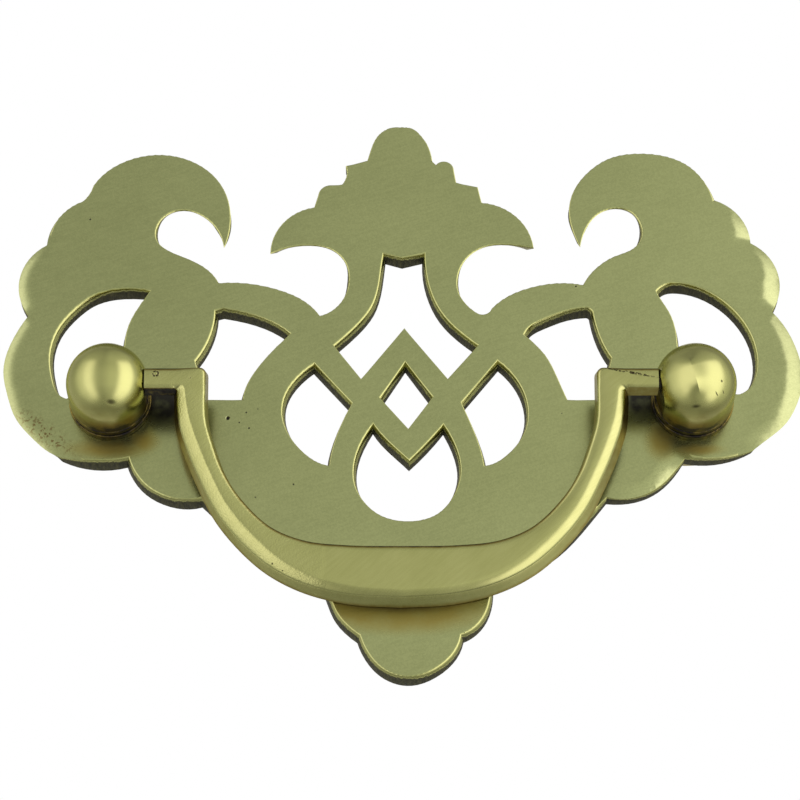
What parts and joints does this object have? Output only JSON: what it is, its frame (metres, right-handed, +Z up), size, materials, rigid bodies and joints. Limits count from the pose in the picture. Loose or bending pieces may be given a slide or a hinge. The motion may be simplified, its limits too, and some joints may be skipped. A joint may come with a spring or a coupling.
{
  "type": "drawer pull",
  "caption": "Pierced brass drawer pull: a scrolled backplate with a swinging bail hung between domed posts, held through the drawer front by threaded studs and nuts.",
  "frame": {"origin": "on the plate's flat back, midway between the axes of the studs", "axes": "+X to the right and +Z up as the front is seen, +Y backwards along the studs into the drawer front"},
  "size_m": [0.1052, 0.0264, 0.0788],
  "materials": {
    "plate": "satin, ground flat, toned dark on the cast edges",
    "posts": "polished, lightly worn",
    "bail": "polished, lightly brushed",
    "nuts": "turned, dull"
  },
  "bodies": {
    "mounting": {"backplate": "plate", "left_post": "posts", "right_post": "posts", "left_nut": "nuts", "right_nut": "nuts"},
    "bail": {"bail": "bail"}
  },
  "joints": [
    {"name": "bail_swing", "type": "hinge", "parent": "mounting", "child": "bail", "pos_m": [0, -0.0094, 0], "axis": [-1, 0, 0], "range_deg": [0, 197]}
  ]
}
